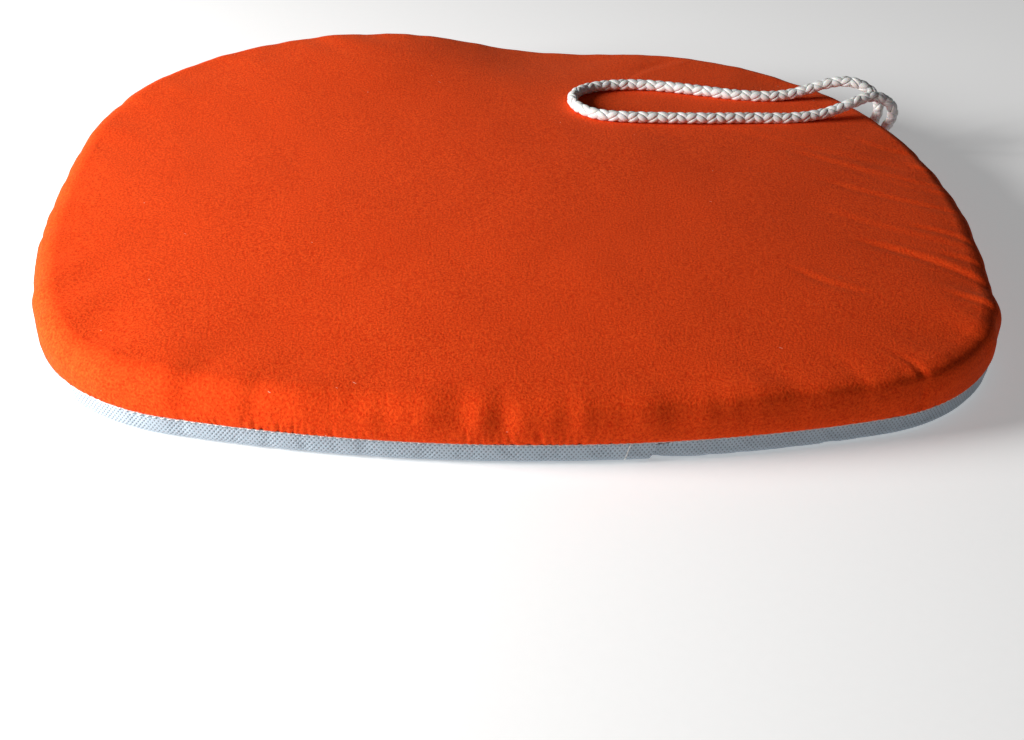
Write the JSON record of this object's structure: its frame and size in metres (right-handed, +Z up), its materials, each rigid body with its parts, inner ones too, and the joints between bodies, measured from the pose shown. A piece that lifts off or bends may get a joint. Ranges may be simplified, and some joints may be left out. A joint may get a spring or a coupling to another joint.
{
  "type": "chair seat pad",
  "caption": "Rounded foam seat pad in a one-piece cloth cover, with a nonwoven strip folded round its lower edge and a braided cord tie loop at its back right corner.",
  "frame": {"origin": "middle of the underside: centre of the pad's plan, at the surface it rests on, measured without the tie cord", "axes": "+Z up out of the cushioned top, +X to the right along the pad's width, -Y towards the front edge, the tie at the back right corner"},
  "size_m": [0.4006, 0.342, 0.0402],
  "materials": {
    "foam": "open-cell flexible foam, matte",
    "cover_cloth": "orange brushed microfibre with a soft peach-skin face",
    "nonwoven_strip": "pale blue-white spunbond nonwoven with embossed dimples",
    "nonwoven_panel": "white spunbond nonwoven with embossed dimples",
    "thread": "white spun polyester thread",
    "cord": "white braided polypropylene cord, slightly glossy"
  },
  "bodies": {
    "root": {"foam_core": "foam", "top_cover": "cover_cloth", "edge_band": "nonwoven_strip", "base_panel": "nonwoven_panel", "cover_seam": "thread", "base_seam": "thread", "lap_stitch": "thread", "tie_tack": "thread", "tie_cord": "cord"}
  },
  "joints": []
}
